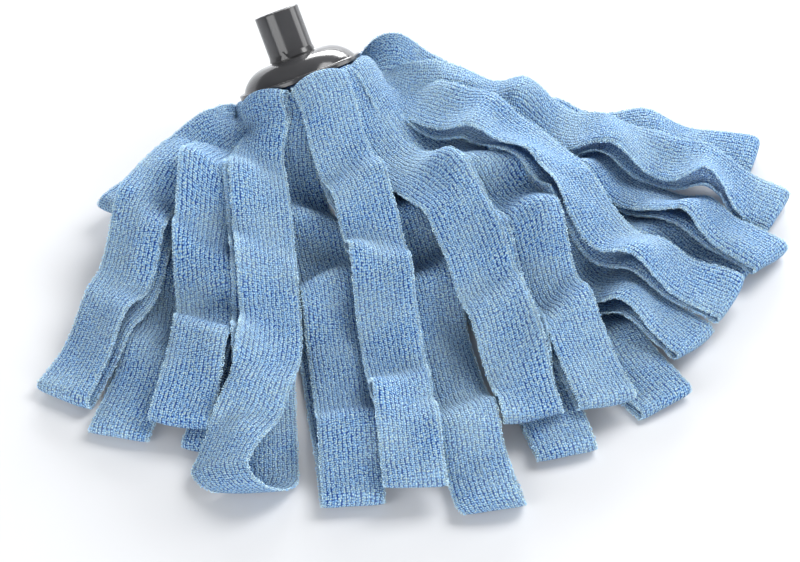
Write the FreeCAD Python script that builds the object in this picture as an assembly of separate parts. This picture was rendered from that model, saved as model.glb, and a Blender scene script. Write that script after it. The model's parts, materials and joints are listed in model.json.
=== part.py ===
import FreeCAD, Part
import os
from math import cos, sin, radians

# Strip mop head lying on the floor: a round dome with a swivelling handle socket,
# and looped cloth strips clamped under the dome, spread out over the floor.
# Millimetres. The hard parts are drawn about the socket's own axis (+Z out of the
# socket's mouth, Z = 0 at the dome's rim) and are then tilted into place.

os.makedirs("parts", exist_ok=True)
V = FreeCAD.Vector

# ---- driving dimensions -----------------------------------------------------------
HANDLE_BORE_D = 24.2        # bore that takes the handle
BORE_DEPTH = 45.0           # handle bore, mouth to floor
SOCKET_WALL = 2.9           # wall of the visible tube
SOCKET_VISIBLE = 31.0       # tube length that stands above the dome
SOCKET_FLOOR = 4.0          # thickness of the bore's closed end
MOUTH_ROUND = 0.9           # rounding of the tube's mouth
FOOT_FLARE = 0.7            # the tube widens by this much at its foot
FOOT_FLARE_H = 3.0
GUSSET_W = 5.0              # small moulded web at the front of the foot
GUSSET_H = 5.0
GUSSET_OUT = 2.2
GUSSET_TURN = -40.0         # its place round the foot, from the head's highest side
JOURNAL_WALL = 1.6          # wall of the part that turns inside the dome
RUNNING_GAP = 0.06          # radial clearance of the journal
SIDE_GAP = 0.2              # end float at the swivel's flat faces
FIT = 0.3                   # clearance between pieces that only sit together

DOME_H = 14.6               # rim plane to the flat top
DOME_WALL = 2.4
DOME_LAND = 1.5             # width of the flat land round the tube
DOME_FLANK = 0.30           # how far in from its foot the dome is at its roundest
DOME_FLANK_RISE = 0.68      # and how much of its height it has gained there
LIP_H = 3.2                 # upright lip at the rim
LIP_OUT = 3.4               # the lip stands out past the dome's wall
LIP_ROUND = 1.05            # rounding of the lip's edges
RIM_COVER = 0.3             # the rim reaches this far past the strips' roots
BOSS_WALL = 2.4             # wall of the sleeve that carries the journal
RIB_COUNT = 6
RIB_T = 1.8

WASHER_T = 1.2              # thrust washer between tube and dome
WASHER_INSET = 0.2          # the washer's edge is inside the tube's
RETAINER_T = 2.4            # disc that keeps the socket in the dome
PIVOT_SCREW_D = 5.0
PIVOT_HEAD_D = 9.5
PIVOT_HEAD_H = 3.0
PIVOT_SLOT = 1.2            # width and depth of the driver slot
PIVOT_BITE = 2.8            # how far the pivot screw enters the socket's floor
SCREW_CLEAR = 0.3           # radial clearance of a screw in the piece it passes

POST_D = 6.4                # posts in the dome that take the clamp screws
POST_GAP = 0.8              # between a post and the sleeve
POST_COUNT = 4
CLAMP_BITE = 6.0            # how far a clamp screw enters its post
CLAMP_SCREW_D = 2.5
CLAMP_HEAD_D = 5.2
CLAMP_HEAD_H = 1.8
BAND_W = 8.8                # stitched ring that gathers the strips
BAND_H = 6.5
BAND_DOWN = 1.0             # the ring's top, below the rim plane
PLATE_T = 3.0               # plate that clamps the stitched ring
PLATE_GRIP = 2.8            # width of the ring that the plate covers

STRIP_W = 37.0              # width of a strip
STRIP_T = 5.5               # a looped strip, both layers
STRIP_REACH = 320.0         # how far out the tips lie, as a rule
ROOT_W = 14.0               # greatest width of a strip where it is gathered
ROOT_CLEAR = 3.0            # between the clamp plate and the lower strips
ROOT_LAYER_GAP = 1.3        # between the two layers of strips at the dome
STRIP_GAP = 1.6             # least gap between neighbouring strips
LAYER_GAP = 2.0             # height left between the two layers on the floor
SKIRT = 20.0                # the strips run straight along the axis this far
STATIONS = 9                # cross-sections along the part of a strip that lies down
UPPER_DRAPE = 0.62          # share of a strip's run in which it comes down
LOWER_DRAPE = 0.48
DRAPE_CURVE = 1.7           # 1 is a straight slope, 2 a hollow one
UPPER_ROOT_DOWN = 1.2       # the upper strips start this far below the rim plane
LOWER_ROOT_DOWN = 0.9       # and the lower ones this far below the stitched ring
AHEAD_SHARE = 0.45          # a strip sets off this much straight ahead of the dome,
OUTWARD_SHARE = 0.55        # and this much outwards
FIRST_PULL = 0.30           # how far along its run a strip keeps its first direction
LAST_PULL = 0.34            # and how far back from its tip its last one

# ---- how the head lies ------------------------------------------------------------
RIM_HEIGHT = 52.0           # middle of the rim plane above the floor
TILT = 42.3                 # socket axis from the vertical
LEAN_TOWARDS = 121.0        # plan direction of the socket's mouth, from +X

# ---- strips, from right to left ---------------------------------------------------
# name, layer, place round the rim (0 right, 90 highest, 180 left), plan direction of
# the tip from the middle of the rim, its distance as a share of the usual reach, and
# the plan direction in which the tip points
STRIPS = [
    ("strip_01", "upper", 4, -4, 0.91, -6),
    ("strip_02", "upper", 17, -13, 1.00, -14),
    ("strip_03", "upper", 31, -29, 0.99, -30),
    ("strip_04", "upper", 46, -52, 0.97, -50),
    ("strip_05", "upper", 64, -61, 0.94, -66),
    ("strip_06", "upper", 97, -77, 1.00, -76),
    ("strip_07", "upper", 131, -99, 0.95, -104),
    ("strip_08", "upper", 149, -106, 0.85, -112),
    ("strip_09", "upper", 163, -122, 0.87, -128),
    ("strip_10", "upper", 177, -148, 0.49, -150),
    ("strip_11", "lower", -32, -21, 1.01, -22),
    ("strip_12", "lower", -6, -27, 0.92, -28),
    ("strip_13", "lower", 21, -39, 0.97, -40),
    ("strip_14", "lower", 46, -47, 1.03, -45),
    ("strip_15", "lower", 70, -59, 1.03, -60),
    ("strip_16", "lower", 93, -70, 1.06, -72),
    ("strip_17", "lower", 115, -84, 1.01, -84),
    ("strip_18", "lower", 140, -94, 0.88, -96),
    ("strip_19", "lower", 172, -113, 0.89, -114),
    ("strip_20", "lower", 208, -128, 0.60, -140),
]

# ---- sizes that follow ------------------------------------------------------------
SOCKET_D = HANDLE_BORE_D + 2 * SOCKET_WALL
JOURNAL_D = HANDLE_BORE_D + 2 * JOURNAL_WALL
BOSS_BORE_D = JOURNAL_D + 2 * RUNNING_GAP
BOSS_D = BOSS_BORE_D + 2 * BOSS_WALL
POST_PCD = BOSS_D + 2 * POST_GAP + POST_D
BAND_IN_D = POST_PCD + POST_D + 2 * FIT
BAND_OUT_D = BAND_IN_D + 2 * BAND_W
PLATE_D = BAND_IN_D + 2 * PLATE_GRIP
PLATE_HOLE_D = BOSS_D + 4 * FIT
LOWER_ROOT_D = PLATE_D + 2 * ROOT_CLEAR + STRIP_T
UPPER_ROOT_D = LOWER_ROOT_D + 2 * (STRIP_T + ROOT_LAYER_GAP)
DOME_D = UPPER_ROOT_D + STRIP_T + 2 * RIM_COVER
DOME_TOP_D = SOCKET_D + 2 * DOME_LAND

FOOT_Z = DOME_H + WASHER_T + SIDE_GAP
MOUTH_Z = FOOT_Z + SOCKET_VISIBLE
BORE_FLOOR_Z = MOUTH_Z - BORE_DEPTH
JOURNAL_END_Z = BORE_FLOOR_Z - SOCKET_FLOOR
BOSS_END_Z = JOURNAL_END_Z + SIDE_GAP
BAND_TOP_Z = -BAND_DOWN
BAND_END_Z = BAND_TOP_Z - BAND_H
PLATE_TOP_Z = BAND_END_Z - FIT
PLATE_END_Z = PLATE_TOP_Z - PLATE_T
POST_END_Z = PLATE_TOP_Z + FIT

Z_AXIS = V(0, 0, 1)
ORIGIN = V(0, 0, 0)


def cylinder(diameter, low, high):
    """A cylinder on the socket's axis between two heights."""
    return Part.makeCylinder(diameter / 2, high - low, V(0, 0, low))


def ring(outer, inner, low, high):
    """A tube on the socket's axis."""
    return cylinder(outer, low, high).cut(cylinder(inner, low - 1, high + 1))


def spun(points):
    """A solid of revolution about the socket's axis from (radius, height) points."""
    outline = Part.makePolygon([V(r, 0, z) for r, z in points + points[:1]])
    return Part.Face(outline).revolve(ORIGIN, Z_AXIS, 360)


def round_the_axis(shape, count, start=0.0):
    """Copies of a shape, evenly spaced round the socket's axis."""
    copies = []
    for index in range(count):
        copy = shape.copy()
        copy.rotate(ORIGIN, Z_AXIS, start + 360.0 * index / count)
        copies.append(copy)
    return copies


def handle_socket():
    """Tube with a blind bore; its lower end is the journal of the swivel."""
    body = cylinder(SOCKET_D, FOOT_Z, MOUTH_Z)
    mouth = [e for e in body.Edges if abs(e.BoundBox.ZMin - MOUTH_Z) < 0.01]
    body = body.makeFillet(MOUTH_ROUND, [e for e in mouth if e.Closed])
    flare = spun([
        (SOCKET_D / 4, FOOT_Z),
        (SOCKET_D / 2 + FOOT_FLARE, FOOT_Z),
        (SOCKET_D / 2, FOOT_Z + FOOT_FLARE_H),
        (SOCKET_D / 4, FOOT_Z + FOOT_FLARE_H),
    ])
    body = body.fuse(flare).fuse(cylinder(JOURNAL_D, JOURNAL_END_Z, FOOT_Z))
    gusset = Part.Face(Part.makePolygon([
        V(-GUSSET_W / 2, 0, FOOT_Z),
        V(GUSSET_W / 2, 0, FOOT_Z),
        V(0, 0, FOOT_Z + GUSSET_H),
        V(-GUSSET_W / 2, 0, FOOT_Z),
    ])).extrude(V(0, -SOCKET_D / 2 - GUSSET_OUT, 0))
    gusset.rotate(V(0, 0, 0), V(0, 0, 1), GUSSET_TURN)
    body = body.fuse(gusset)
    body = body.cut(cylinder(HANDLE_BORE_D, BORE_FLOOR_Z, MOUTH_Z + 1))
    pilot_top = JOURNAL_END_Z + PIVOT_BITE
    body = body.cut(cylinder(PIVOT_SCREW_D, JOURNAL_END_Z - 1, pilot_top))
    return body.removeSplitter()


def thrust_washer():
    """Flat washer that the foot of the tube turns on."""
    outer = SOCKET_D - 2 * WASHER_INSET
    return ring(outer, JOURNAL_D + 2 * FIT, DOME_H, DOME_H + WASHER_T)


def retaining_disc():
    """Disc under the journal; it overlaps the dome's sleeve and keeps the socket in."""
    top = JOURNAL_END_Z
    return ring(BOSS_D, PIVOT_SCREW_D + 2 * SCREW_CLEAR, top - RETAINER_T, top)


def pivot_screw():
    """Screw that holds the retaining disc on the socket's closed end."""
    under_head = JOURNAL_END_Z - RETAINER_T
    head_end = under_head - PIVOT_HEAD_H
    head = cylinder(PIVOT_HEAD_D, head_end, under_head)
    shank = cylinder(PIVOT_SCREW_D, under_head, JOURNAL_END_Z + PIVOT_BITE)
    corner = V(-PIVOT_HEAD_D / 2, -PIVOT_SLOT / 2, head_end)
    slot = Part.makeBox(PIVOT_HEAD_D, PIVOT_SLOT, PIVOT_SLOT, corner)
    return head.fuse(shank).cut(slot).removeSplitter()


def dome_form(foot_r, foot_z, land_r, top_z, low):
    """A solid under a rounded flank that runs from its foot up to the flat land."""
    flank = V(
        foot_r - DOME_FLANK * (foot_r - land_r),
        0,
        foot_z + DOME_FLANK_RISE * (top_z - foot_z),
    )
    edges = [
        Part.makeLine(V(0, 0, low), V(foot_r, 0, low)),
        Part.makeLine(V(foot_r, 0, low), V(foot_r, 0, foot_z)),
        Part.Arc(V(foot_r, 0, foot_z), flank, V(land_r, 0, top_z)).toShape(),
        Part.makeLine(V(land_r, 0, top_z), V(0, 0, top_z)),
        Part.makeLine(V(0, 0, top_z), V(0, 0, low)),
    ]
    return Part.Face(Part.Wire(edges)).revolve(ORIGIN, Z_AXIS, 360)


def dome_cover():
    """Dome with a lip, a sleeve for the journal, ribs, and posts for the clamp screws."""
    foot_r = DOME_D / 2 - LIP_OUT
    land_r = DOME_TOP_D / 2
    lip = cylinder(DOME_D, 0, LIP_H)
    rims = [edge for edge in lip.Edges if edge.Closed and abs(edge.BoundBox.ZMin - LIP_H) < 0.01]
    lip = lip.makeFillet(LIP_ROUND, rims)
    outside = dome_form(foot_r, LIP_H, land_r, DOME_H, 0).fuse(lip)
    hollow = dome_form(foot_r - DOME_WALL, LIP_H / 2, land_r, DOME_H - DOME_WALL, -1)
    shell = outside.cut(hollow)
    inside = []
    rib_outer = foot_r - DOME_WALL / 2
    rib = Part.makeBox(rib_outer, RIB_T, DOME_H, V(0, -RIB_T / 2, LIP_H))
    for piece in round_the_axis(rib, RIB_COUNT, 360.0 / (2 * RIB_COUNT)):
        inside.append(piece.common(outside))
    shell = shell.fuse(inside).fuse(cylinder(BOSS_D, BOSS_END_Z, DOME_H))
    post = Part.makeCylinder(POST_D / 2, DOME_H - POST_END_Z, V(POST_PCD / 2, 0, POST_END_Z))
    pilot_top = PLATE_TOP_Z + CLAMP_BITE
    hole = Part.makeCylinder(
        CLAMP_SCREW_D / 2, pilot_top - POST_END_Z + 1, V(POST_PCD / 2, 0, POST_END_Z - 1)
    )
    below = cylinder(DOME_D, POST_END_Z - 1, LIP_H)
    for piece in round_the_axis(post, POST_COUNT):
        shell = shell.fuse(piece.common(outside.fuse(below)))
    for piece in round_the_axis(hole, POST_COUNT):
        shell = shell.cut(piece)
    shell = shell.cut(cylinder(BOSS_BORE_D, BOSS_END_Z - 1, DOME_H + 1))
    return shell.removeSplitter()


def binding_ring():
    """Stitched cloth ring that gathers the strips' ends round the posts."""
    return ring(BAND_OUT_D, BAND_IN_D, BAND_END_Z, BAND_TOP_Z)


def clamp_plate():
    """Flat plate that is screwed to the posts and grips the stitched ring."""
    plate = ring(PLATE_D, PLATE_HOLE_D, PLATE_END_Z, PLATE_TOP_Z)
    hole = Part.makeCylinder(
        CLAMP_SCREW_D / 2 + SCREW_CLEAR, PLATE_T + 2, V(POST_PCD / 2, 0, PLATE_END_Z - 1)
    )
    for piece in round_the_axis(hole, POST_COUNT):
        plate = plate.cut(piece)
    return plate


def clamp_screws():
    """The screws that hold the clamp plate, one at each post."""
    head = Part.makeCylinder(
        CLAMP_HEAD_D / 2, CLAMP_HEAD_H, V(POST_PCD / 2, 0, PLATE_END_Z - CLAMP_HEAD_H)
    )
    shank = Part.makeCylinder(
        CLAMP_SCREW_D / 2, PLATE_T + CLAMP_BITE, V(POST_PCD / 2, 0, PLATE_END_Z)
    )
    return Part.makeCompound(round_the_axis(head.fuse(shank).removeSplitter(), POST_COUNT))


# ---- the head's place over the floor ----------------------------------------------
AXIS = V(
    sin(radians(TILT)) * cos(radians(LEAN_TOWARDS)),
    sin(radians(TILT)) * sin(radians(LEAN_TOWARDS)),
    cos(radians(TILT)),
)
RIGHT = V(AXIS.y, -AXIS.x, 0).normalize()
UPHILL = RIGHT.cross(AXIS)
RIM_CENTRE = V(0, 0, RIM_HEIGHT)
HEAD_PLACE = FreeCAD.Placement(RIM_CENTRE, FreeCAD.Rotation(RIGHT, UPHILL * -1, AXIS, "ZXY"))


def on_head(angle, radius, height):
    """A point beside the socket's axis, given round the rim, in floor coordinates."""
    out = RIGHT * cos(radians(angle)) + UPHILL * sin(radians(angle))
    return RIM_CENTRE + out * radius + AXIS * height


def bezier(a, b, c, d, t):
    """A point on a cubic curve in plan."""
    s = 1 - t
    return a * s ** 3 + b * 3 * s * s * t + c * 3 * s * t * t + d * t ** 3


def strip_line(layer, angle, direction, share_of_reach, heading):
    """Middle line of a strip: down the skirt, over the floor, out to its tip."""
    upper = layer == "upper"
    radius = (UPPER_ROOT_D if upper else LOWER_ROOT_D) / 2
    start = -UPPER_ROOT_DOWN if upper else BAND_END_Z - LOWER_ROOT_DOWN
    rest = STRIP_T / 2 + (STRIP_T + LAYER_GAP if upper else 0)
    root = on_head(angle, radius, start)
    knee = on_head(angle, radius, start - SKIRT)
    reach = STRIP_REACH * share_of_reach
    a = V(knee.x, knee.y, 0)
    d = V(cos(radians(direction)), sin(radians(direction)), 0) * reach
    run = (d - a).Length
    first = V(-AXIS.x, -AXIS.y, 0).normalize() * AHEAD_SHARE
    outward = V(knee.x, knee.y, 0).normalize() * OUTWARD_SHARE
    last = V(cos(radians(heading)), sin(radians(heading)), 0)
    b = a + (first + outward) * (run * FIRST_PULL)
    c = d - last * (run * LAST_PULL)
    share = UPPER_DRAPE if upper else LOWER_DRAPE
    line = [root, V(knee.x, knee.y, max(knee.z, rest))]
    for index in range(1, STATIONS + 1):
        t = index / STATIONS
        point = bezier(a, b, c, d, t)
        fall = max(0.0, 1 - t / share)
        point.z = rest + max(knee.z - rest, 0) * fall ** DRAPE_CURVE
        line.append(point)
    return line


def halfway(line, neighbour, index):
    """Vector from a strip's middle line towards a neighbour, cut to the free room."""
    gap = neighbour[index] - line[index]
    widest = ROOT_W if index < 2 else STRIP_W
    room = min(widest, gap.Length - STRIP_GAP) / 2
    return gap.normalize() * room


def strip_solid(line, right_line, left_line):
    """Closed strip between its neighbours, as wide as a strip where there is room."""
    sections = []
    for index, point in enumerate(line):
        right = halfway(line, right_line, index) if right_line else None
        left = halfway(line, left_line, index) if left_line else None
        if right is None:
            right = left * -1
        if left is None:
            left = right * -1
        ahead = line[min(index + 1, len(line) - 1)] - line[max(index - 1, 0)]
        up = (left - right).cross(ahead).normalize() * (STRIP_T / 2)
        corners = [point + right - up, point + right + up, point + left + up, point + left - up]
        sections.append(Part.makePolygon(corners + corners[:1]))
    return Part.makeLoft(sections, True, True)


def strips():
    """All the strips, each kept clear of its neighbours in its own layer."""
    made = {}
    for layer in ("upper", "lower"):
        rows = [row for row in STRIPS if row[1] == layer]
        lines = [strip_line(*row[1:]) for row in rows]
        for index, row in enumerate(rows):
            right_line = lines[index - 1] if index > 0 else None
            left_line = lines[index + 1] if index + 1 < len(rows) else None
            made[row[0]] = strip_solid(lines[index], right_line, left_line)
    return made


def build():
    """Every piece by name, standing on the floor with the origin under its middle."""
    hard = {
        "handle_socket": handle_socket(),
        "thrust_washer": thrust_washer(),
        "retaining_disc": retaining_disc(),
        "pivot_screw": pivot_screw(),
        "dome_cover": dome_cover(),
        "binding_ring": binding_ring(),
        "clamp_plate": clamp_plate(),
        "clamp_screws": clamp_screws(),
    }
    pieces = {}
    for name, shape in hard.items():
        pieces[name] = shape.transformed(HEAD_PLACE.toMatrix(), copy=True)
    pieces.update(strips())
    box = FreeCAD.BoundBox()
    for shape in pieces.values():
        box.add(shape.optimalBoundingBox(False, False))
    shift = V(-box.Center.x, -box.Center.y, -box.ZMin)
    for shape in pieces.values():
        shape.translate(shift)
    return pieces, shift


PIECES, SHIFT = build()
for node, solid in PIECES.items():
    solid.exportStep("parts/%s.step" % node)
    print(node, "volume %.0f" % solid.Volume, "valid", solid.isValid(), "solids", len(solid.Solids))
print("shift", SHIFT)
print("socket axis", AXIS, "mouth", on_head(0, 0, MOUTH_Z) + SHIFT)
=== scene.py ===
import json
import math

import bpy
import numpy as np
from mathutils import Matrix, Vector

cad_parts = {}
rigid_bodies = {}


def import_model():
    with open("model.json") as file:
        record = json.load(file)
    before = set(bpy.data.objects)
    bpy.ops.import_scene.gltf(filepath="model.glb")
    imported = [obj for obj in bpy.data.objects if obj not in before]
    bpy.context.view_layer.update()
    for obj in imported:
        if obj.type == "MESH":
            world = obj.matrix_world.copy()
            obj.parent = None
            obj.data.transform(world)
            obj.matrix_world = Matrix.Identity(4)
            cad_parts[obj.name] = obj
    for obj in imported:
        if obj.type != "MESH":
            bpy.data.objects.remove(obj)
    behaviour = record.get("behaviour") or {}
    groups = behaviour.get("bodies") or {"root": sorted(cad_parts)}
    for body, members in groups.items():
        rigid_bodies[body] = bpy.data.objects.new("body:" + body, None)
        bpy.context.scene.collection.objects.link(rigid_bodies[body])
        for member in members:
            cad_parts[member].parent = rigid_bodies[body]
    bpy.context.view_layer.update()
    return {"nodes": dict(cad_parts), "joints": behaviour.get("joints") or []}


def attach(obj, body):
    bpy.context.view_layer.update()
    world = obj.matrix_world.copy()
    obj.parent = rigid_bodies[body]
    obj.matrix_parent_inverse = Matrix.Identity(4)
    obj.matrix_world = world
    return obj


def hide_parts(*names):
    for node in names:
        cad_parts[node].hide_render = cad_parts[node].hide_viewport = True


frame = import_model()

# %% [markdown]
# # A strip mop head, lying on the floor
#
# The hard parts (dome, handle socket, clamp) are already there: they come from the
# frame and stay where they are. What is made here is the cloth, the finishes, and a
# small studio.

MM = 0.001

swivel = [joint for joint in frame["joints"] if joint["name"] == "socket_swivel"][0]
HEAD_BODY = swivel["parent"]
RIM = np.array(swivel["pos_m"]) / MM              # middle of the dome's rim, in mm
AXIS = np.array(swivel["axis"])
AXIS = AXIS / np.linalg.norm(AXIS)                # out of the handle socket
RIGHT = np.array([AXIS[1], -AXIS[0], 0.0])
RIGHT = RIGHT / np.linalg.norm(RIGHT)             # level, towards the right of the head
UPHILL = np.cross(RIGHT, AXIS)                    # up the slope of the rim

# %% [markdown]
# ## Where each strip goes
#
# Every strip is one long band of terry. It leaves the head, runs out to its tip, folds
# over and comes back on top of itself, so each strip is two layers. Its route is a
# short list of places on the floor, counted in millimetres from the middle of the rim,
# with X to the right and Y away from the viewer. Only the points that a bend needs are
# given; a smooth curve joins them. The strips are listed in the order in which they
# are laid, so a later one lies on top of an earlier one.

# %% The strips and their routes
STRIP_W = 37.0           # width of a strip
CLOTH_T = 2.9            # thickness of the terry
SQUEEZED_T = 2.0         # thickness where it is gathered under the dome
STRIPS = [
    # name, place round the rim, strips above it there, swell over the rim, rise beside
    # it, opening of the loop at the tip, route, tip, its buckles' distances from the tip
    ("strip_20", 206, 2, 0.0, 0, 3, [(-58, -44), (-84, -92)], (-108, -140), (50,)),
    ("strip_18", 136, 2, 0.0, 0, 3, [(-18, -75), (-32, -160), (-36, -230)], (-48, -284), (60, 120)),
    ("strip_15", 78, 2, 0.0, 0, 6, [(46, -62), (108, -130), (146, -222)], (164, -286), (60, 130)),
    ("strip_12", 10, 2, 0.0, 0, 3, [(86, -28), (162, -76), (224, -112)], (276, -146), (60, 130)),
    ("strip_14", 50, 2, 0.0, 0, 3, [(76, -48), (150, -120), (196, -198)], (227, -246), (56, 140)),
    ("strip_13", 32, 1, 0.0, 0, 4, [(84, -36), (140, -90), (194, -162)], (246, -202), (48, 110, 180)),
    ("strip_11", 0, 1, 0.0, 3, 3, [(90, -8), (178, -46), (240, -86)], (299, -128), (52, 128)),
    ("strip_16", 84, 1, 0.0, 0, 9, [(42, -68), (76, -134), (98, -238)], (116, -330), (52, 168, 222)),
    ("strip_19", 176, 1, 0.0, 0, 3, [(-56, -68), (-78, -140), (-86, -206)], (-104, -272), (60, 120)),
    ("strip_17", 124, 1, 0.0, 0, 3, [(-4, -72), (17, -150), (30, -236)], (38, -326), (44, 158, 214)),
    ("strip_01", -12, 1, 0.4, 25, 5, [(68, 22), (146, 4), (224, -10)], (296, -30), (62, 140, 200)),
    ("strip_02", 6, 0.4, 0.2, 9, 4, [(86, -2), (158, -22), (236, -46)], (308, -80), (50, 112, 180)),
    ("strip_10", 200, 1, 0.2, 18, 3, [(-50, -36), (-78, -58)], (-113, -93), (46, 100)),
    ("strip_09", 188, 0.4, 0.2, 14, 4, [(-67, -60), (-94, -106), (-108, -166)], (-140, -240), (60, 124)),
    ("strip_08", 172, 0.2, 0.2, 0, 4, [(-50, -76), (-58, -142), (-54, -206)], (-67, -272), (50, 114, 170)),
    ("strip_04", 44, 0, 0.2, 0, 4, [(78, -46), (132, -108), (164, -190)], (190, -256), (60, 120, 184)),
    ("strip_03", 24, 0.5, 0.2, 0, 4, [(84, -22), (146, -68), (204, -138)], (270, -170), (55, 130, 200)),
    ("strip_05", 69, 0.5, 0.3, 0, 4, [(50, -58), (94, -114), (125, -198)], (144, -268), (70, 150)),
    ("strip_06", 98, -0.4, 0.3, 0, 3, [(24, -64), (46, -126), (60, -212)], (74, -322), (64, 158, 222)),
    ("strip_07", 150, -0.2, 0.8, 0, 22, [(-27, -76), (-19, -154), (-15, -236)], (-42, -312), (58, 150)),
]
print(len(STRIPS), "strips")

# %% [markdown]
# ## Laying cloth on cloth
#
# A cloth solver would let forty layers of terry slide about and never end in the same
# pile twice, so the strips are laid by a rule instead. A grid of heights remembers the
# pile so far. A new layer starts above it and sinks: at each step every point moves
# towards its neighbours, drops a little, and is stopped by what lies below. That gives
# the long spans, the sagging and the ridges over hidden edges that real strips show.

# %% The pile as a grid of heights
CELL = 2.0                               # size of a cell
LOW = np.array([-240.0, -420.0])         # corner of the grid, from the middle of the rim
CELLS = (330, 270)
heights = np.zeros(CELLS)


def neighbours_high(grid):
    """Each cell's height or the highest of the cells beside it."""
    high = grid.copy()
    for axis in (0, 1):
        for way in (-1, 1):
            high = np.maximum(high, np.roll(grid, way, axis))
    return high


def sample(grid, x, y):
    """Heights of the grid at given places."""
    gx = np.clip((x - LOW[0]) / CELL - 0.5, 0, CELLS[0] - 1.001)
    gy = np.clip((y - LOW[1]) / CELL - 0.5, 0, CELLS[1] - 1.001)
    i, j = gx.astype(int), gy.astype(int)
    fx, fy = gx - i, gy - j
    return ((1 - fx) * (1 - fy) * grid[i, j] + fx * (1 - fy) * grid[i + 1, j]
            + (1 - fx) * fy * grid[i, j + 1] + fx * fy * grid[i + 1, j + 1])


def raise_pile(x, y, z):
    """The pile now reaches at least z at those places."""
    i = np.clip(((x - LOW[0]) / CELL).astype(int), 0, CELLS[0] - 1)
    j = np.clip(((y - LOW[1]) / CELL).astype(int), 0, CELLS[1] - 1)
    np.maximum.at(heights, (i.ravel(), j.ravel()), z.ravel())


def finer(grid, times):
    """A grid of points with more rows and columns, for filling cells without gaps."""
    for axis in (0, 1):
        count = grid.shape[axis]
        at = np.linspace(0, count - 1, (count - 1) * times + 1)
        low = np.minimum(at.astype(int), count - 2)
        part = at - low
        part = part[:, None] if axis == 0 else part[None, :]
        grid = (np.take(grid, low, axis) * (1 - part) + np.take(grid, low + 1, axis) * part)
    return grid


print("grid of", CELLS[0], "by", CELLS[1], "cells of", CELL, "mm")

# %% [markdown]
# ## The bundle under the dome
#
# The hidden ends of the strips make a thick bundle that hangs down from the dome. It
# only has to hold up the strips above it, so a row of balls that get smaller is enough.

# %% The bundle of cloth under the dome
MOUND_START = 14.0       # the bundle's first and last round, below the rim
MOUND_END = 70.0
MOUND_R = 24.0           # its radius at the rim
MOUND_TAPER = 0.13       # and how quickly that falls


def head_mound():
    """The bundle of gathered cloth under the dome, as the first thing in the pile."""
    gx = LOW[0] + CELL * (np.arange(CELLS[0]) + 0.5)
    gy = LOW[1] + CELL * (np.arange(CELLS[1]) + 0.5)
    x, y = np.meshgrid(gx, gy, indexing="ij")
    for along in np.arange(MOUND_START, MOUND_END, 2.0):
        centre = -AXIS * along + np.array([0, 0, RIM[2]])
        radius = MOUND_R - MOUND_TAPER * along
        left = radius ** 2 - (x - centre[0]) ** 2 - (y - centre[1]) ** 2
        np.maximum(heights, np.where(left > 0, centre[2] + np.sqrt(np.maximum(left, 0)), 0), heights)


head_mound()
print("mound", heights.max().round(1), "mm high")

# %% [markdown]
# ## Smooth lines
#
# A strip's route and the curve of its root are each given by a few points. A spline
# that passes through every one of them is easy to steer and never swings far out, so
# it was chosen over a curve with handles.

# %% A smooth line through a few points
STEP = 3.0               # distance between the rows of a strip
SPAN_PARTS = 30          # pieces of a span before the line is cut evenly


def smooth_line(points, step):
    """A smooth line in space through the points, cut into even steps."""
    points = np.array(points, float)
    ends = np.vstack([2 * points[0] - points[1], points, 2 * points[-1] - points[-2]])
    pieces = []
    for a, b, c, d in zip(ends, ends[1:], ends[2:], ends[3:]):
        t = np.linspace(0, 1, SPAN_PARTS, endpoint=False)[:, None]
        pieces.append(0.5 * (2 * b + (c - a) * t + (2 * a - 5 * b + 4 * c - d) * t ** 2
                             + (3 * b - a - 3 * c + d) * t ** 3))
    curve = np.vstack(pieces + [points[-1:]])
    along = np.concatenate([[0], np.cumsum(np.linalg.norm(np.diff(curve, axis=0), axis=1))])
    at = np.linspace(0, along[-1], int(along[-1] / step) + 1)
    return np.stack([np.interp(at, along, curve[:, k]) for k in range(points.shape[1])], axis=1)


def eased(value, start, end):
    """0 before start, 1 after end, smooth between them."""
    part = np.clip((value - start) / (end - start), 0, 1)
    return part * part * (3 - 2 * part)


longest = max(STRIPS, key=lambda strip: math.hypot(*strip[7]))
print("longest reach", round(math.hypot(*longest[7])), "mm, rows", STEP, "mm apart")

# %% [markdown]
# ## The root, over the edge of the dome
#
# The clamp holds every strip under the dome. The strip comes out there, rises over the
# rim and turns down along the head, with its middle arched above its edges. The curve
# is given in the head's own directions, so it leans as the head leans. A strip that
# lies under others starts further in and lower.

# %% The root of a strip
ACROSS = 13              # points across a strip while it is being laid
MIDDLE = ACROSS // 2
SIDE = np.linspace(-1, 1, ACROSS)
LAYER_STEP = 2.3         # from one layer to the next where they are gathered
CLAMP_R = 34.0           # where the clamp lets go of the cloth, from the head's axis
ARCHED_R = 44.0          # and where it has its full arch
LEAST_R = 30.0           # a strip never bends round the axis more tightly than this
CROWN = 5.0              # the middle of a strip comes out this much higher than its edges
CROWN_DOWN = 0.8         # share of the crown that its edges go down by


def root_profile(layer, swell):
    """Distance from the axis and height over the rim, from the clamp outwards."""
    inwards = LAYER_STEP * layer
    return smooth_line([
        (CLAMP_R - inwards, -4.0 - 0.5 * layer),
        (41.0 - inwards, -2.6 - 1.6 * layer),
        (45.6 - inwards, -1.2 - 2.0 * layer + 4.4 * swell),
        (49.0 - inwards + swell, -5.5 - 2.0 * layer + 3.2 * swell),
        (50.5 - inwards + swell, -15.0 - 1.0 * layer),
    ], STEP)


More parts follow.
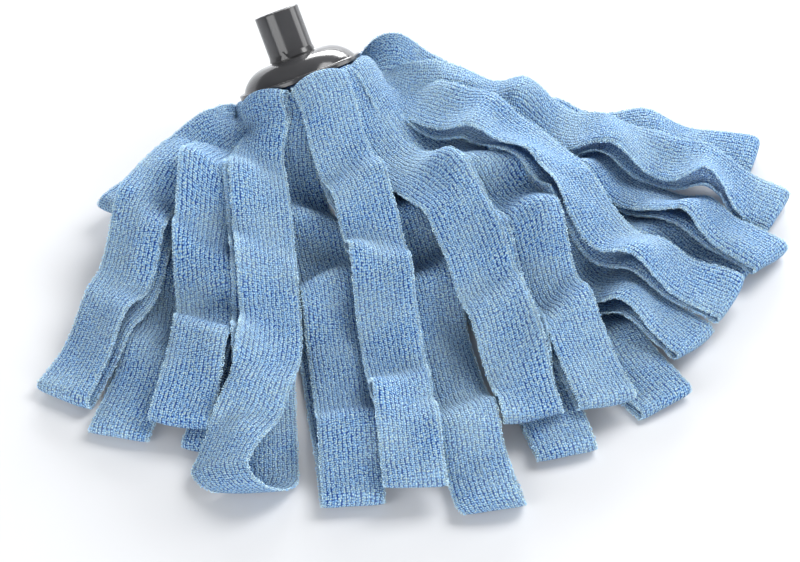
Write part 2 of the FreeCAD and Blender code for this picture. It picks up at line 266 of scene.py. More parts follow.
def root_rows(angle, layer, swell):
    """The gathered end of a layer, from the clamp to where it turns down."""
    rows = []
    for radius, over in root_profile(layer, swell):
        arc = math.radians(angle) + SIDE * STRIP_W / 2 / max(radius, LEAST_R)
        around = np.outer(np.cos(arc), RIGHT) + np.outer(np.sin(arc), UPHILL)
        arched = eased(radius, CLAMP_R - LAYER_STEP * layer, ARCHED_R)
        puffed = CROWN * (1 - SIDE[:, None] ** 2) * arched
        rows.append(around * radius + AXIS * (over - CROWN * CROWN_DOWN + puffed)
                    + np.array([0, 0, RIM[2]]))
    return np.stack(rows)


print("a root has", len(root_rows(90, 0, 0.0)), "rows")

# %% [markdown]
# ## Sinking on to the pile
#
# Cloth doesn't sag freely, because every point is held by its neighbours. So each round
# moves a point half of the way to the points beside it, lets it drop a little, and puts
# it back on top of the pile if it has gone in. After some hundred rounds the layer
# bridges the hollows and rides over the ridges below, as cloth does.

# %% Sinking
SINK = 0.07              # drop at each round, against the cloth's pull
ROUNDS = 700


def relax(z, floor, fixed, rounds):
    """Lets a layer sink on to what lies below it, keeping its first rows."""
    keep = fixed.shape[0]
    for _ in range(rounds):
        move = np.zeros_like(z)
        move[1:-1] += 0.5 * (z[:-2] + z[2:] - 2 * z[1:-1])
        move[-1] += 0.5 * (z[-2] - z[-1])
        move[:, 1:-1] += 0.5 * (z[:, :-2] + z[:, 2:] - 2 * z[:, 1:-1])
        move[:, 0] += 0.5 * (z[:, 1] - z[:, 0])
        move[:, -1] += 0.5 * (z[:, -2] - z[:, -1])
        z = np.maximum(z + 0.5 * move - SINK, floor)
        z[:keep] = fixed
    return z


print("a layer sinks for", ROUNDS, "rounds")

# %% [markdown]
# ## Buckles, rolls and thickness
#
# Strips that have been wrung out keep a few soft humps across them, and never lie quite
# level from edge to edge. Both are added after the sinking, from fixed seeds. The terry
# is squeezed thin where it is gathered and swells to its own thickness further out.

# %% Buckles, rolls and thickness
# strips whose buckles stand higher than the others'
PROUD = {"strip_17": 1.9, "strip_16": 1.5, "strip_08": 1.35, "strip_04": 1.3}
BUCKLE_LENGTH = (12, 19)       # least and greatest length of a buckle along the strip
BUCKLE_SIZE = (0.7, 1.3)       # and share of the usual height
ASKEW = 0.6                    # a buckle turns by at most this share of half the width
ROLLS = (150.0, 80.0)          # lengths of the slow rolls
ROUNDED = 0.9                  # a strip's middle is higher than its edges by this
SWELLS = (15.0, 90.0)          # the terry reaches its thickness between these distances


def buckles(far, places, rng, height):
    """Humps across a strip, a little askew, at distances from its tip."""
    lift = np.zeros((len(far), ACROSS))
    for place in places:
        width = rng.uniform(*BUCKLE_LENGTH)
        skew = rng.uniform(-ASKEW, ASKEW) * STRIP_W / 2
        size = height * rng.uniform(*BUCKLE_SIZE)
        at = far[-1] - far[:, None] - place - skew * SIDE
        lift += size * np.exp(-(at / width) ** 2)
    return lift


def roll(far, rng, height):
    """A slow roll from edge to edge, as cloth never lies quite level."""
    turns = np.zeros(len(far))
    for length in ROLLS:
        turns += np.sin(2 * math.pi * (far / length + rng.uniform(0, 1)))
    lift = height * (1 + 0.5 * turns[:, None] * SIDE)
    return lift + ROUNDED * (1 - SIDE ** 2)


def thickness(far):
    """The terry is squeezed where it is gathered."""
    return SQUEEZED_T + (CLOTH_T - SQUEEZED_T) * eased(far, *SWELLS)


print("buckles on", sum(len(strip[8]) for strip in STRIPS), "places")

# %% [markdown]
# ## Laying one layer
#
# The root is followed by rows along the route. Their width starts as the dome's round
# and becomes level, and the dome's slope carries them down before the pile takes over.
# When the layer has sunk and has its buckles, it is added to the pile.

# %% Laying
LEVEL_AFTER = 62.0             # a strip's width is level this far beyond its root
DESCENT = 0.8                  # it first goes down by this share of the head's slope
HELD_BY_PILE = (-6.0, 44.0)    # the pile takes over between these, beyond the root
BUCKLED = (40.0, 90.0)         # buckles and rolls grow between these distances
ROLLED = (50.0, 110.0)
ROLL_SHARE = 0.22              # height of a roll, as a share of a buckle's
RISE_AT = 17                   # the hump beside the dome: its place beyond the root,
RISE_REACH = 22.0              # its length along the strip,
RISE_LEAN = 0.85               # and how much higher its far edge is
TIP_OPENS = (62.0, 6.0)        # the loop opens between these distances from the tip
OPEN_MIDDLE = 0.55             # how far it opens in the middle of the strip,
OPEN_TWIST = 0.45              # and how much less at one edge than there
FILLED = 3                     # points between two of the mesh's, so no cell is missed


def lay(angle, layer, swell, rise, route, tip, rng, lift_tip, height, places):
    """Lays one layer from the head to its tip and returns its middle surface."""
    root = root_rows(angle, layer, swell)
    first = len(root) - 1
    middle = root[:, MIDDLE]
    line = smooth_line([middle[-1, :2]] + route + [tip], STEP)
    ahead = np.gradient(line, axis=0)
    ahead = ahead / np.linalg.norm(ahead, axis=1)[:, None]
    edge_way = np.stack([ahead[:, 1], -ahead[:, 0]], axis=1)
    rows = len(line) + first
    far = np.arange(rows) * STEP
    out = far[first:]
    mix = eased(out - out[0], 0.0, LEVEL_AFTER)[:, None]
    flat_x = line[:, :1] + edge_way[:, :1] * SIDE * STRIP_W / 2
    flat_y = line[:, 1:] + edge_way[:, 1:] * SIDE * STRIP_W / 2
    edge = root[-1] - middle[-1]
    x = (edge[:, 0] + line[:, :1]) * (1 - mix) + flat_x * mix
    y = (edge[:, 1] + line[:, 1:]) * (1 - mix) + flat_y * mix
    x = np.concatenate([root[:-1, :, 0], x])
    y = np.concatenate([root[:-1, :, 1], y])
    slope = AXIS[2] / np.hypot(AXIS[0], AXIS[1])
    down = root[-1, :, 2] - slope * DESCENT * (out - out[0])[:, None]
    start = np.concatenate([root[:-1, :, 2], down])
    thick = thickness(far)[:, None]
    held = eased(far - far[first], *HELD_BY_PILE)[:, None]
    below = sample(neighbours_high(heights), x, y) + thick * 0.5
    floor = below * held + np.minimum(start, below) * (1 - held)
    z = np.maximum(start, floor)
    fixed = start[:first + 2]
    z = relax(z, floor, fixed, ROUNDS)
    z = z + buckles(far, places, rng, height) * eased(far, *BUCKLED)[:, None]
    far_side = (y - y[:, MIDDLE:MIDDLE + 1]) / (STRIP_W / 2)
    hump = np.exp(-((far - far[first] - RISE_AT) / RISE_REACH) ** 2)[:, None]
    z = z + rise * hump * (1 + RISE_LEAN * far_side)
    z = z + roll(far, rng, height * ROLL_SHARE) * eased(far, *ROLLED)[:, None]
    near_tip = eased(far, far[-1] - TIP_OPENS[0], far[-1] - TIP_OPENS[1])[:, None]
    z = z + lift_tip * near_tip * (OPEN_MIDDLE - OPEN_TWIST * SIDE)
    raise_pile(finer(x, FILLED), finer(y, FILLED), finer(z + thick * 0.5, FILLED))
    return np.stack([x, y, z], axis=2), thickness(far)


print("rows go level over", LEVEL_AFTER, "mm")

# %% [markdown]
# ## From two layers to one looped band
#
# The lower layer is followed out to the tip, a round fold turns it over, and the upper
# layer is followed back. The band gets its thickness from its own normals, and its
# edges are rounded off as terry edges are.

# %% The band's mesh
EDGE = np.array([-1, -0.965, -0.86, -0.6, -0.3, 0, 0.3, 0.6, 0.86, 0.965, 1])
PLUMP = np.sqrt(np.clip(1 - np.abs(EDGE) ** 6, 0, 1))
FOLD_ROWS = 9
FOLD_MOST = 15.0         # the fold never reaches further out than this
UNDER_U = 0.05           # the underside's place in the UV map, beside the top's
U_BREAK = 0.03           # a step longer than this is the jump between them


def across(surface):
    """The surface again, at the places across the strip that the mesh needs."""
    columns = []
    for place in EDGE:
        at = (place + 1) / 2 * (ACROSS - 1)
        low = min(int(at), ACROSS - 2)
        columns.append(surface[:, low] * (low + 1 - at) + surface[:, low + 1] * (at - low))
    return np.stack(columns, axis=1)


def fold(lower_end, lower_ahead, upper_end):
    """Rows that turn the cloth over at the tip."""
    rows = []
    half = (upper_end - lower_end) / 2
    out = np.minimum(np.linalg.norm(half, axis=1), FOLD_MOST)[:, None]
    for index in range(1, FOLD_ROWS + 1):
        turn = math.pi * index / (FOLD_ROWS + 1)
        rows.append(lower_end + half * (1 - math.cos(turn)) + lower_ahead * out * math.sin(turn))
    return np.stack(rows)


def band_mesh(name, surface, thick):
    """A closed band round a middle surface, with lengths in metres as its UV map."""
    rows, count = surface.shape[:2]
    along = np.gradient(surface, axis=0)
    side = np.gradient(surface, axis=1)
    normal = np.cross(along, side)
    normal = normal / np.maximum(np.linalg.norm(normal, axis=2), 1e-9)[..., None]
    half = thick[:, None, None] / 2 * PLUMP[None, :, None]
    top = surface + normal * half
    bottom = surface - normal * half
    ring = np.concatenate([top, bottom[:, count - 2:0:-1]], axis=1)
    width = ring.shape[1]
    points = (ring.reshape(-1, 3) + np.array([RIM[0], RIM[1], 0])) * MM
    run = np.concatenate([[0], np.cumsum(np.linalg.norm(
        np.diff(surface[:, count // 2], axis=0), axis=1))]) * MM
    u_top = EDGE * STRIP_W / 2 * MM
    u_ring = np.concatenate([u_top, u_top[count - 2:0:-1] + UNDER_U])
    faces, places = [], []
    for row in range(rows - 1):
        for column in range(width):
            following = (column + 1) % width
            faces.append((row * width + column, row * width + following,
                          (row + 1) * width + following, (row + 1) * width + column))
            u_a = u_ring[column]
            u_b = u_ring[following]
            if abs(u_b - u_a) > U_BREAK:
                u_b = u_a
            places += [(u_a, run[row]), (u_b, run[row]), (u_b, run[row + 1]), (u_a, run[row + 1])]
    for row in (0, rows - 1):
        cap = tuple(row * width + column for column in range(width))
        faces.append(cap[::-1] if row else cap)
        places += [(u_ring[column], run[row]) for column in range(width)]
    mesh = bpy.data.meshes.new(name)
    mesh.from_pydata([tuple(p) for p in points], [], faces)
    layer = mesh.uv_layers.new(name="cloth")
    layer.data.foreach_set("uv", np.array(places, float).ravel())
    mesh.polygons.foreach_set("use_smooth", [True] * len(mesh.polygons))
    mesh.validate()
    mesh.update()
    return mesh, run[-1]


print("a band has", 2 * len(EDGE) - 2, "points round it")

# %% [markdown]
# ## All twenty strips
#
# Each strip's lower layer is laid first and strays a little from the upper one, as the
# two sides of a real loop never line up. Every band is one object that rides on the
# head and stands in for the plain strip of the same name.

# %% Lay all the strips
LOWER_BUCKLE = 4.5       # how high the cloth buckles, below and above
UPPER_BUCKLE = 8.0
STRAY = 5                # how far the lower layer strays from the upper
CLOSED = 5               # a loop that opens no more than this has no spread
SPREAD = 1.7             # how far the two sides part for each mm above that
TIP_STRAY = 0.3          # at the tip the layers stray less, as they are one cloth there
SLIP = 8                 # the lower layer's buckles are off the upper one's by up to this
FIRST_SEED = 1000
bands = {}
edge_lines = {}
for number, (name, angle, depth, swell, rise, opening, route, tip, places) in enumerate(STRIPS):
    rng = np.random.default_rng(FIRST_SEED + number)
    shift = rng.uniform(-STRAY, STRAY, 2)
    spread = SPREAD * max(opening - CLOSED, 0)
    proud = PROUD.get(name, 1.0)
    low_tip = (tip[0] + shift[0] * TIP_STRAY + spread,
               tip[1] + shift[1] * TIP_STRAY + spread * 0.2)
    low_route = [(px + shift[0], py + shift[1]) for px, py in route]
    low_places = [place + rng.uniform(-SLIP, SLIP) for place in places]
    lower, lower_t = lay(angle, depth * 2 + 1, swell * 0.5, rise, low_route, low_tip, rng,
                         0.0, LOWER_BUCKLE * proud, low_places)
    upper, upper_t = lay(angle, depth * 2, swell, rise, route, tip, rng,
                         opening, UPPER_BUCKLE * proud, places)
    lower, upper = across(lower), across(upper)
    ahead = lower[-1] - lower[-3]
    ahead[:, 2] = 0
    ahead = ahead / np.linalg.norm(ahead, axis=1)[:, None]
    surface = np.concatenate([lower, fold(lower[-1], ahead, upper[-1]), upper[::-1]])
    thick = np.concatenate([lower_t, np.full(FOLD_ROWS, CLOTH_T), upper_t[::-1]])
    mesh, length = band_mesh(name + "_cloth", surface, thick)
    band = bpy.data.objects.new(name + "_cloth", mesh)
    bpy.context.scene.collection.objects.link(band)
    subdivision = band.modifiers.new("smooth", "SUBSURF")
    subdivision.levels = subdivision.render_levels = 1
    bands[name] = band
    edge_lines[name] = [
        (surface[:, side] + np.array([RIM[0], RIM[1], 0])) * MM for side in (0, -1)]
    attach(band, HEAD_BODY)
    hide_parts(name)
    print(name, "band of", round(length, 3), "m, top", round(surface[:, :, 2].max(), 1), "mm")

# %% [markdown]
# ## The terry's loose edge loops
#
# Along both edges of a real strip the outermost loops of the terry stand free and make
# the outline look soft. One small loop is repeated along the edge lines by Geometry
# Nodes, each turned and sized a little differently. The result is turned into a plain
# mesh, one per strip.

# %% A node tree that strings loops along a line
def socket_named(tree, name):
    """Identifier of one of the tree's named inputs."""
    for item in tree.interface.items_tree:
        if item.name == name and item.in_out == "INPUT":
            return item.identifier


def loop_tree():
    """Loops along the edges of a mesh made of lines."""
    tree = bpy.data.node_groups.new("edge loops", "GeometryNodeTree")
    face = tree.interface
    face.new_socket("Geometry", in_out="INPUT", socket_type="NodeSocketGeometry")
    for name, value in (("Spacing", 0.0016), ("Loop", 0.0008), ("Yarn", 0.00032)):
        face.new_socket(name, in_out="INPUT", socket_type="NodeSocketFloat").default_value = value
    face.new_socket("Seed", in_out="INPUT", socket_type="NodeSocketInt")
    face.new_socket("Material", in_out="INPUT", socket_type="NodeSocketMaterial")
    face.new_socket("Geometry", in_out="OUTPUT", socket_type="NodeSocketGeometry")
    make = tree.nodes.new
    join = tree.links.new
    start = make("NodeGroupInput")
    end = make("NodeGroupOutput")
    line = make("GeometryNodeMeshToCurve")
    join(start.outputs["Geometry"], line.inputs["Mesh"])
    even = make("GeometryNodeResampleCurve")
    even.mode = "LENGTH"
    join(line.outputs["Curve"], even.inputs["Curve"])
    join(start.outputs["Spacing"], even.inputs["Length"])
    ring = make("GeometryNodeCurvePrimitiveCircle")
    ring.inputs["Resolution"].default_value = 6
    join(start.outputs["Loop"], ring.inputs["Radius"])
    yarn = make("GeometryNodeCurvePrimitiveCircle")
    yarn.inputs["Resolution"].default_value = 3
    join(start.outputs["Yarn"], yarn.inputs["Radius"])
    tube = make("GeometryNodeCurveToMesh")
    join(ring.outputs["Curve"], tube.inputs["Curve"])
    join(yarn.outputs["Curve"], tube.inputs["Profile Curve"])
    turn = make("FunctionNodeRandomValue")
    turn.data_type = "FLOAT_VECTOR"
    turn.inputs["Min"].default_value = (0.0, 0.0, 0.0)
    turn.inputs["Max"].default_value = (math.tau, math.tau, math.tau)
    join(start.outputs["Seed"], turn.inputs["Seed"])
    size = make("FunctionNodeRandomValue")
    size.data_type = "FLOAT"
    size.inputs[2].default_value = 0.6
    size.inputs[3].default_value = 1.25
    join(start.outputs["Seed"], size.inputs["Seed"])
    place = make("GeometryNodeInstanceOnPoints")
    join(even.outputs["Curve"], place.inputs["Points"])
    join(tube.outputs["Mesh"], place.inputs["Instance"])
    join(turn.outputs["Value"], place.inputs["Rotation"])
    join(size.outputs[1], place.inputs["Scale"])
    real = make("GeometryNodeRealizeInstances")
    join(place.outputs["Instances"], real.inputs["Geometry"])
    paint = make("GeometryNodeSetMaterial")
    join(real.outputs["Geometry"], paint.inputs["Geometry"])
    join(start.outputs["Material"], paint.inputs["Material"])
    join(paint.outputs["Geometry"], end.inputs["Geometry"])
    return tree


print("a tree that strings loops")

# %% [markdown]
# ## From lines to loops
#
# A modifier that stays on a piece would be lost or slow later, so the tree works on a
# helper object, its result is kept as a plain mesh, and the helper is thrown away. The
# tree's inputs are set by their identifiers, before anything is worked out.

# %% Loops along lines
def string_loops(name, lines, tree, values):
    """Loops along several lines of points in metres, as a plain mesh object."""
    points, edges = [], []
    for line in lines:
        edges += [(len(points) + k, len(points) + k + 1) for k in range(len(line) - 1)]
        points += [tuple(p) for p in line]
    mesh = bpy.data.meshes.new(name + "_line")
    mesh.from_pydata(points, edges, [])
    holder = bpy.data.objects.new(name + "_line", mesh)
    bpy.context.scene.collection.objects.link(holder)
    nodes = holder.modifiers.new("loops", "NODES")
    nodes.node_group = tree
    for key, value in values.items():
        nodes[socket_named(tree, key)] = value
    seen = holder.evaluated_get(bpy.context.evaluated_depsgraph_get())
    plain = bpy.data.meshes.new_from_object(seen)
    plain.name = name
    bpy.data.objects.remove(holder)
    finished = bpy.data.objects.new(name, plain)
    bpy.context.scene.collection.objects.link(finished)
    return finished


print("edge lines of", len(edge_lines), "strips are waiting for them")

# %% [markdown]
# ## Helpers for the materials
#
# Every finish here is a small tree of nodes, and the same few steps come back in each:
# a node with some numbers set, a sum, a mix of two colours, a change of range. With a
# helper for each step, a material reads as a short recipe.

# %% Small helpers for node materials
def plain_material(name):
    """A new material with its node tree and its shader."""
    material = bpy.data.materials.new(name)
    material.use_nodes = True
    return material, material.node_tree, material.node_tree.nodes["Principled BSDF"]


def node(tree, kind, **values):
    """A new node with some of its inputs set by name."""
    made = tree.nodes.new(kind)
    for key, value in values.items():
        made.inputs[key.replace("_", " ")].default_value = value
    return made


def math_of(tree, operation, first, second):
    """A math node; either side is a number or a socket."""
    made = tree.nodes.new("ShaderNodeMath")
    made.operation = operation
    for index, side in enumerate((first, second)):
        if isinstance(side, (int, float)):
            made.inputs[index].default_value = side
        elif side is not None:
            tree.links.new(side, made.inputs[index])
    return made.outputs[0]


def mixed(tree, factor, first, second):
    """A colour mix; each side is a colour or a socket."""
    made = tree.nodes.new("ShaderNodeMix")
    made.data_type = "RGBA"
    tree.links.new(factor, made.inputs["Factor"])
    for index, side in ((6, first), (7, second)):
        if isinstance(side, tuple):
            made.inputs[index].default_value = side
        else:
            tree.links.new(side, made.inputs[index])
    return made.outputs[2]


def ranged(tree, value, low, high, to_low=0.0, to_high=1.0):
    """A smooth change of range."""
    made = tree.nodes.new("ShaderNodeMapRange")
    made.interpolation_type = "SMOOTHSTEP"
    tree.links.new(value, made.inputs["Value"])
    for key, number in (("From Min", low), ("From Max", high), ("To Min", to_low),
                        ("To Max", to_high)):
        made.inputs[key].default_value = number
    return made.outputs["Result"]


print("helpers for node, sum, mix and range")

# %% [markdown]
# ## Blue microfibre terry
#
# The cloth is knitted in ribs that run along the strip, and every stitch carries a small
# standing loop. The material follows the strip's own lengths: close-set rounded cells
# make the loops, a fine rib runs along them, and both set the height and the painted
# shade. The colour is painted shade, deep between the loops, and a painted highlight,
# pale at their tips; a painted highlight also makes it a little paler along the rolled
# edges.

# %% Terry material
LOOP_ACROSS = 0.0014     # distance between loops, across and along the strip
LOOP_ALONG = 0.0014
RIB = 0.0028             # distance between ribs
SWAY = 0.0016            # how far the rows wander
LOOP_HEIGHT = 0.0013
RIB_SHARE = 0.18         # a rib's height, as a share of a loop's
# colours of the painted shading: deep painted shade between the loops, blue, and a pale painted highlight
# on the loop tips and edges, which is also the tone of the random pale patches
PALE = (0.76, 0.99, 1.0, 1)
BLUE = (0.30, 0.60, 1.0, 1)
PAINTED_SHADE_BLUE = (0.010, 0.055, 0.28, 1)


def terry_material():
    """Looped knit, in the strip's own lengths."""
    material, tree, shader = plain_material("blue terry")
    link = tree.links.new
    shader.inputs["Roughness"].default_value = 0.92
    shader.inputs["Specular IOR Level"].default_value = 0.25
    shader.inputs["Sheen Weight"].default_value = 0.25
    shader.inputs["Sheen Roughness"].default_value = 0.4
    shader.inputs["Sheen Tint"].default_value = (0.6, 0.8, 1.0, 1)
    lengths = tree.nodes.new("ShaderNodeUVMap")
    lengths.uv_map = "cloth"
    sway = node(tree, "ShaderNodeTexNoise", Scale=160.0, Detail=1.0)
    link(lengths.outputs["UV"], sway.inputs["Vector"])
    swayed = tree.nodes.new("ShaderNodeVectorMath")
    swayed.operation = "MULTIPLY_ADD"
    link(sway.outputs["Color"], swayed.inputs[0])
    swayed.inputs[1].default_value = (SWAY, SWAY, 0.0)
    link(lengths.outputs["UV"], swayed.inputs[2])
    scaled = tree.nodes.new("ShaderNodeMapping")
    scaled.inputs["Scale"].default_value = (1 / LOOP_ACROSS, 1 / LOOP_ALONG, 1.0)
    link(swayed.outputs[0], scaled.inputs["Vector"])
    cells = node(tree, "ShaderNodeTexVoronoi", Scale=1.0, Randomness=0.5)
    cells.voronoi_dimensions = "2D"
    link(scaled.outputs["Vector"], cells.inputs["Vector"])
    loops = ranged(tree, cells.outputs["Distance"], 0.08, 0.60, 1.0, 0.0)
    split = tree.nodes.new("ShaderNodeSeparateXYZ")
    link(swayed.outputs[0], split.inputs[0])
    ribs = math_of(tree, "SINE", math_of(tree, "MULTIPLY", split.outputs["X"], math.tau / RIB), None)
    ribs = math_of(tree, "MULTIPLY_ADD", ribs, RIB_SHARE)
    ribs.node.inputs[2].default_value = RIB_SHARE
    height = math_of(tree, "ADD", loops, ribs)
    place = tree.nodes.new("ShaderNodeTexCoord")
    patches = node(tree, "ShaderNodeTexNoise", Scale=26.0, Detail=3.0)
    link(place.outputs["Object"], patches.inputs["Vector"])
    tufts = node(tree, "ShaderNodeTexNoise", Scale=620.0, Detail=2.0)
    link(place.outputs["Object"], tufts.inputs["Vector"])
    shade = math_of(tree, "MULTIPLY", height, ranged(tree, tufts.outputs["Fac"], 0.3, 0.7, 0.55, 1.3))
    # painted shade and painted highlight: the low parts between the loops are coloured deep blue and the
    # loop tips pale
    body = mixed(tree, ranged(tree, shade, 0.10, 0.52), PAINTED_SHADE_BLUE, BLUE)
    body = mixed(tree, ranged(tree, shade, 0.60, 1.20), body, PALE)
    patches_and_edge_highlight = mixed(tree, ranged(tree, patches.outputs["Fac"], 0.35, 0.75, 0.0, 0.22), body, PALE)
    plain = tree.nodes.new("ShaderNodeSeparateXYZ")
    link(lengths.outputs["UV"], plain.inputs[0])
    top = math_of(tree, "ABSOLUTE", plain.outputs["X"], None)
    under = math_of(tree, "SUBTRACT", plain.outputs["X"], UNDER_U)
    under = math_of(tree, "ABSOLUTE", under, None)
    # painted highlight: the colour turns paler along both rolled edges of the strip
    edge = ranged(tree, math_of(tree, "MINIMUM", top, under), 0.0165, 0.0185, 0.0, 0.3)
    patches_and_edge_highlight = mixed(tree, edge, patches_and_edge_highlight, PALE)
    link(patches_and_edge_highlight, shader.inputs["Base Color"])
    bump = node(tree, "ShaderNodeBump", Strength=1.0, Distance=LOOP_HEIGHT)
    link(shade, bump.inputs["Height"])
    link(bump.outputs["Normal"], shader.inputs["Normal"])
    return material


terry = terry_material()
for band in bands.values():
    band.data.materials.append(terry)
print("terry on", len(bands), "bands")

# %% [markdown]
# ## The loose loops in place
#
# The single loops are the same yarn, and show mostly the pale tips of the pile, with a
# little change of tone from one to the next.

# %% Loop yarn, and the loops along every strip
SPACING = 0.0017         # from loop to loop
LOOP_R = 0.00075         # a loop's radius, and that of its yarn
YARN_R = 0.0003


def loop_yarn_material():
    """The single loops: the pile's pale tip colour, with a little change along them."""
    material, tree, shader = plain_material("loop yarn")
    shader.inputs["Roughness"].default_value = 0.9
    shader.inputs["Sheen Weight"].default_value = 0.4
    place = tree.nodes.new("ShaderNodeTexCoord")
    noise = node(tree, "ShaderNodeTexNoise", Scale=700.0, Detail=2.0)
    tree.links.new(place.outputs["Object"], noise.inputs["Vector"])
    tone = mixed(tree, ranged(tree, noise.outputs["Fac"], 0.3, 0.7), BLUE, PALE)
    tree.links.new(tone, shader.inputs["Base Color"])
    return material


loop_yarn = loop_yarn_material()
loops_tree = loop_tree()
for number, (name, lines) in enumerate(edge_lines.items()):
    values = {"Spacing": SPACING, "Loop": LOOP_R, "Yarn": YARN_R, "Seed": number}
    values["Material"] = loop_yarn
    loops = string_loops(name + "_loops", lines, loops_tree, values)
    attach(loops, HEAD_BODY)
print("edge loops on", len(edge_lines), "strips")

# %% [markdown]
# ## Grey moulded plastic
#
# The dome and the socket are one glossy dark grey plastic. A mould leaves a fine grain
# and very slight unevenness, which shows in the highlights, and handling dulls it in
# patches, so the roughness and a weak bump both come from noise.

# %% Moulded surface
WORN_LIGHTER = 1.25      # worn patches are lighter by this


def moulded(name, colour, rough_low, rough_high, grain):
    """Moulded surface: fine grain, slow unevenness, patches of wear."""
    material, tree, shader = plain_material(name)
    link = tree.links.new
    place = tree.nodes.new("ShaderNodeTexCoord")
    slow = node(tree, "ShaderNodeTexNoise", Scale=38.0, Detail=4.0)
    fine = node(tree, "ShaderNodeTexNoise", Scale=2600.0, Detail=2.0)
    link(place.outputs["Object"], slow.inputs["Vector"])
    link(place.outputs["Object"], fine.inputs["Vector"])
    link(ranged(tree, slow.outputs["Fac"], 0.3, 0.7, rough_low, rough_high), shader.inputs["Roughness"])
    light = tuple(min(1.0, c * WORN_LIGHTER) for c in colour[:3]) + (1,)
    link(mixed(tree, ranged(tree, slow.outputs["Fac"], 0.35, 0.8), colour, light),
         shader.inputs["Base Color"])
    both = math_of(tree, "ADD", fine.outputs["Fac"], math_of(tree, "MULTIPLY", slow.outputs["Fac"], 3.0))
    bump = node(tree, "ShaderNodeBump", Strength=grain, Distance=0.0004)
    link(both, bump.inputs["Height"])
    link(bump.outputs["Normal"], shader.inputs["Normal"])
    return material


print("moulded surface ready")

# %% [markdown]
# ## Finishes for the hard parts
#
# The washer is black nylon, the screws are bright steel, and the ring that holds the
# strips is a coarse blue cloth. They hardly show once the head is put together, but
# each gets its own finish, because somebody may take the head apart.

# %% Plastic, steel and ring cloth
grey_plastic = moulded("grey plastic", (0.052, 0.052, 0.055, 1), 0.11, 0.19, 0.05)
grey_plastic.node_tree.nodes["Principled BSDF"].inputs["IOR"].default_value = 1.52
washer_plastic = moulded("washer plastic", (0.05, 0.05, 0.052, 1), 0.35, 0.5, 0.05)
screw_steel = moulded("screw steel", (0.60, 0.60, 0.62, 1), 0.22, 0.42, 0.05)
screw_steel.node_tree.nodes["Principled BSDF"].inputs["Metallic"].default_value = 1.0
ring_cloth = moulded("ring cloth", (0.16, 0.29, 0.56, 1), 0.85, 0.95, 0.9)
FINISHES = {
    "handle_socket": grey_plastic,
    "dome_cover": grey_plastic,
    "clamp_plate": grey_plastic,
    "retaining_disc": grey_plastic,
    "thrust_washer": washer_plastic,
    "pivot_screw": screw_steel,
    "clamp_screws": screw_steel,
    "binding_ring": ring_cloth,
}
for name, material in FINISHES.items():
    frame["nodes"][name].data.materials.clear()
    frame["nodes"][name].data.materials.append(material)
print(len(FINISHES), "parts from the frame have a finish")

# %% [markdown]
# ## Studio floor
#
# The head lies on a sheet of white paper, far larger than the head, so that no edge of
# it is seen. It is matt and keeps its shadows soft.

# %% Floor
floor_mesh = bpy.data.meshes.new("floor")
floor_mesh.from_pydata([(-6, -6, 0), (6, -6, 0), (6, 6, 0), (-6, 6, 0)], [], [(0, 1, 2, 3)])
floor = bpy.data.objects.new("floor", floor_mesh)
bpy.context.scene.collection.objects.link(floor)
paper, _, paper_shader = plain_material("white paper")
paper_shader.inputs["Base Color"].default_value = (0.74, 0.75, 0.77, 1)
paper_shader.inputs["Roughness"].default_value = 0.85
paper_shader.inputs["Specular IOR Level"].default_value = 0.1
floor_mesh.materials.append(paper)
print("floor", tuple(round(side) for side in floor.dimensions[:2]), "m")

# %% [markdown]
# ## Studio light
#
# Soft boxes light the head. A broad one stands high at the right and a little behind,
# so the shadows fall forward and to the left. A tall one at the left draws the long
# streak on the tube, and one at the right its second edge. A low one in front reaches
# the tips of the strips. A bright one far behind, with a small one in it, lights the
# dome's shoulder. Each is placed by the direction in which the dome sees it, which is
# the easiest way to steer a reflection.

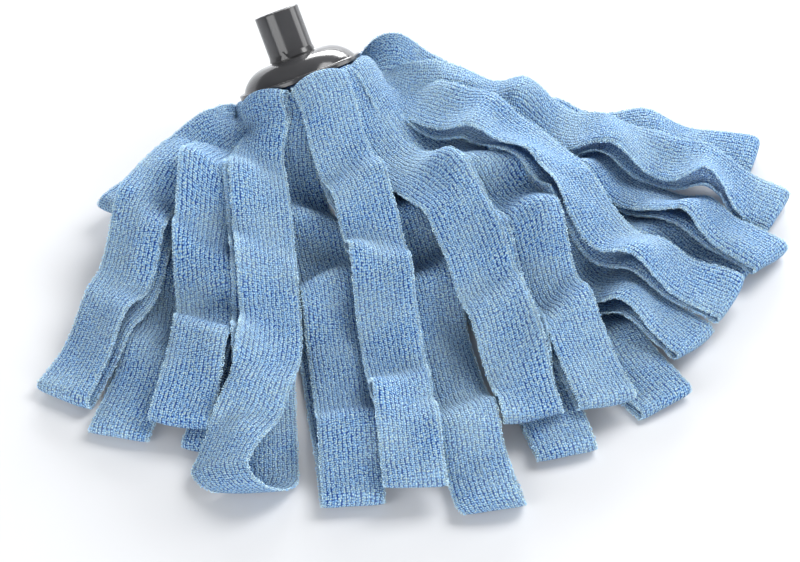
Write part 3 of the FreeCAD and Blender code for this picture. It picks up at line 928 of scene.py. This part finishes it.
# %% Lights
def softbox(name, way, distance, size, radiance, across=(1, 0, 0)):
    """A soft light of a given brightness, seen from the dome in a given direction."""
    light = bpy.data.lights.new(name, "AREA")
    light.shape = "RECTANGLE"
    light.size, light.size_y = size
    light.energy = radiance * math.pi * size[0] * size[1]
    lamp = bpy.data.objects.new(name, light)
    toward = Vector(way).normalized()
    side = Vector(across) - toward * toward.dot(Vector(across))
    side.normalize()
    turn = Matrix((side, toward.cross(side), toward)).transposed()
    lamp.rotation_euler = turn.to_euler()
    lamp.location = Vector(RIM) * MM + toward * distance
    bpy.context.scene.collection.objects.link(lamp)
    print("light", name, round(light.energy, 1), "W")


# name, direction from the dome, distance, width and height, brightness
softbox("overhead", (0.55, 0.3, 0.8), 1.6, (1.1, 0.8), 8.0)
softbox("left", (-0.551, -0.747, 0.372), 1.4, (1.05, 0.5), 4.0, across=(0.664, -0.231, 0.522))
softbox("right", (0.937, 0.226, 0.263), 1.3, (0.6, 0.5), 4.0, across=(0, 1, 0))
softbox("front", (0.25, -0.93, 0.27), 1.6, (1.4, 0.5), 5.3)
softbox("back", (0.05, 0.95, 0.24), 1.5, (1.5, 0.5), 18.0)
softbox("glint", (0.102, 0.929, 0.357), 1.45, (0.07, 0.07), 110.0)
world = bpy.data.worlds.new("studio")
bpy.context.scene.world = world
world.use_nodes = True
surroundings = world.node_tree.nodes["Background"]
surroundings.inputs["Color"].default_value = (0.95, 0.97, 1.0, 1)
surroundings.inputs["Strength"].default_value = 0.26

# %% [markdown]
# ## Camera
#
# The camera looks down at the head from in front, along a long lens that keeps the
# strips' edges almost parallel. It aims at a place on the floor in the middle of the
# whole spread, which lies to the right and in front of the dome.

# %% Camera
ELEVATION = 45.0         # degrees above the floor
DISTANCE = 1.9           # metres from where it aims
LENS = 133.632           # mm, for a sensor 36 mm wide
AIM_RIGHT = 65.35        # where it aims, in mm from the middle of the rim
AIM_FRONT = 137.0
aim = Vector(((RIM[0] + AIM_RIGHT) * MM, (RIM[1] - AIM_FRONT) * MM, 0))
back = Vector((0, -math.cos(math.radians(ELEVATION)), math.sin(math.radians(ELEVATION))))
cam_data = bpy.data.cameras.new("camera")
cam_data.sensor_width = 36.0
cam_data.lens = LENS
cam = bpy.data.objects.new("camera", cam_data)
cam.location = aim + back * DISTANCE
cam.rotation_euler = (-back).to_track_quat("-Z", "Y").to_euler()
bpy.context.scene.collection.objects.link(cam)
bpy.context.scene.camera = cam
bpy.context.scene.view_settings.view_transform = "Standard"
print("camera at", tuple(round(v, 2) for v in cam.location), "m")
